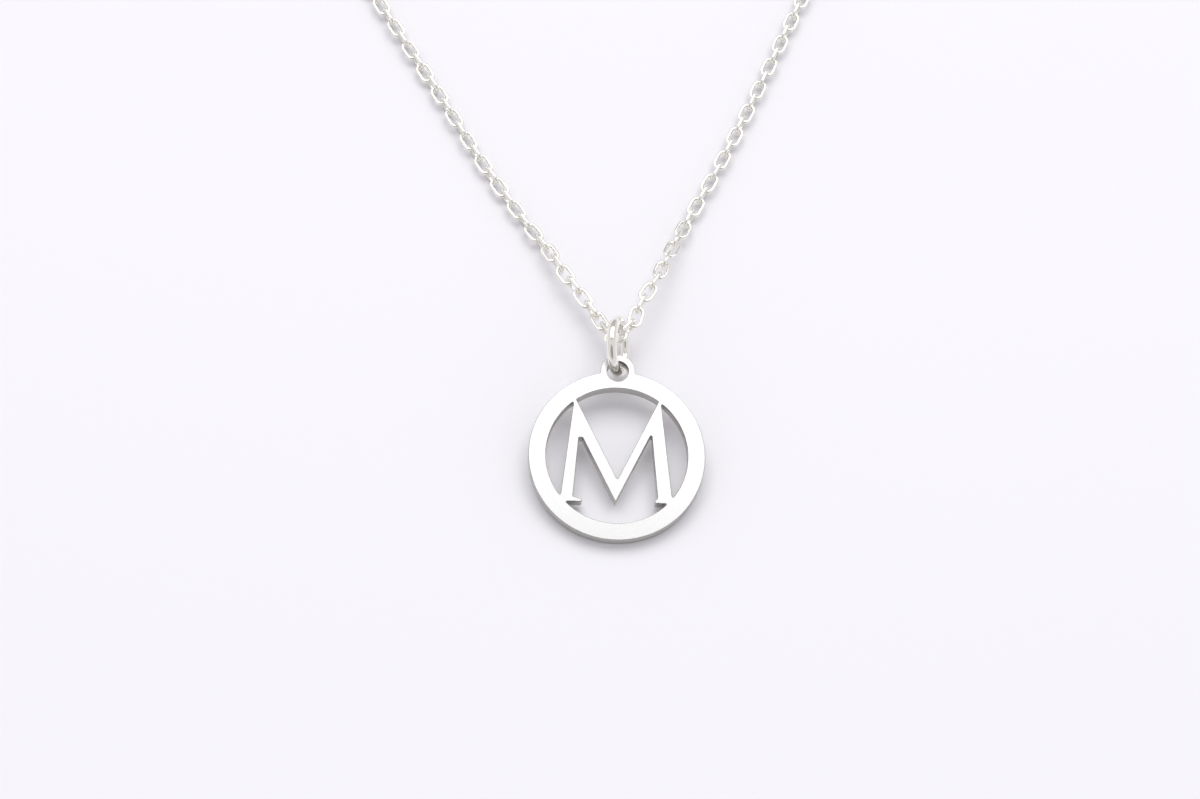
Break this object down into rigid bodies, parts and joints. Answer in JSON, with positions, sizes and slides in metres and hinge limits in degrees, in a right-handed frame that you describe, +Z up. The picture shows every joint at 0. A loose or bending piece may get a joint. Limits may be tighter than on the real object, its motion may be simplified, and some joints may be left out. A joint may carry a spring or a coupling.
{
  "type": "initial pendant on a chain",
  "caption": "Round pierced initial pendant with a serif capital letter inside a flat rim, hung by a jump ring on a fine cable chain with a bolt ring clasp.",
  "frame": {"origin": "the point of the surface it lies on that is under the middle of the whole part's box", "axes": "+Z up from the surface, +Y from the pendant to the clasp, +X to the right as the letter is read"},
  "size_m": [0.1036, 0.1799, 0.0044],
  "materials": {
    "plate_silver": "sterling silver plate, cut out, lightly brushed and polished",
    "ring_silver": "sterling silver wire, polished",
    "chain_silver": "sterling silver wire links, polished",
    "clasp_silver": "sterling silver, polished"
  },
  "bodies": {
    "root": {"pendant_plate": "plate_silver", "jump_ring": "ring_silver", "chain_links": "chain_silver", "chain_back": "chain_silver", "clasp": "clasp_silver"}
  },
  "joints": []
}
